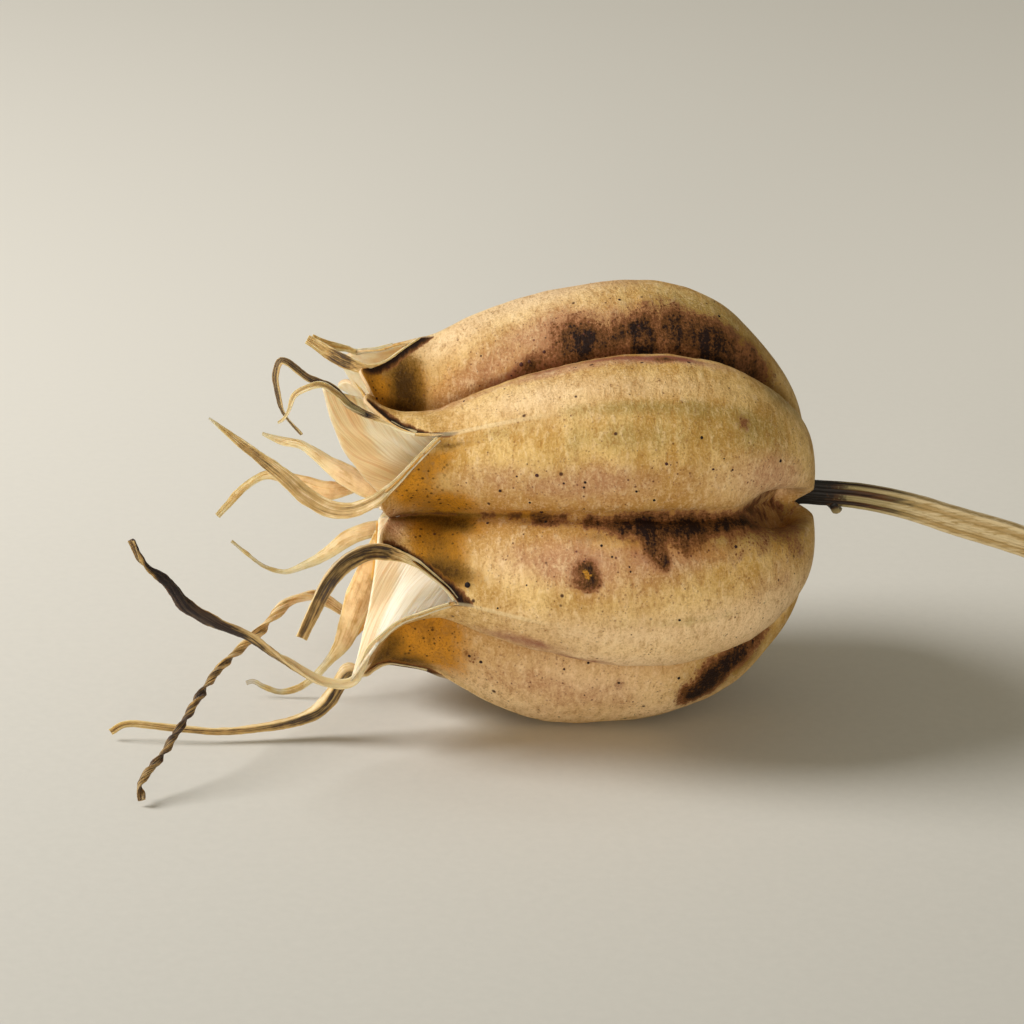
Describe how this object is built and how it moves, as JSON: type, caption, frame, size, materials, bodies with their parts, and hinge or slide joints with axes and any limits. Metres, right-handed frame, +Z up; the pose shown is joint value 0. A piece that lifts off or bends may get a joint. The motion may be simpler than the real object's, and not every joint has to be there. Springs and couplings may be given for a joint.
{
  "type": "nigella seed pod",
  "caption": "Dried love-in-a-mist seed pod lying on its side: an inflated, lobed papery capsule with a split mouth, curled dry styles and a ribbed stem.",
  "frame": {"origin": "on the surface the pod lies on, under the middle of its bounding box", "axes": "+X along the capsule's axis towards the stem, -X out of the mouth, +Z up from the surface the pod lies on"},
  "size_m": [0.071, 0.027, 0.0244],
  "materials": {
    "capsule": "matte",
    "stem": "matte"
  },
  "bodies": {
    "root": {"capsule": "capsule", "stem": "stem"}
  },
  "joints": []
}
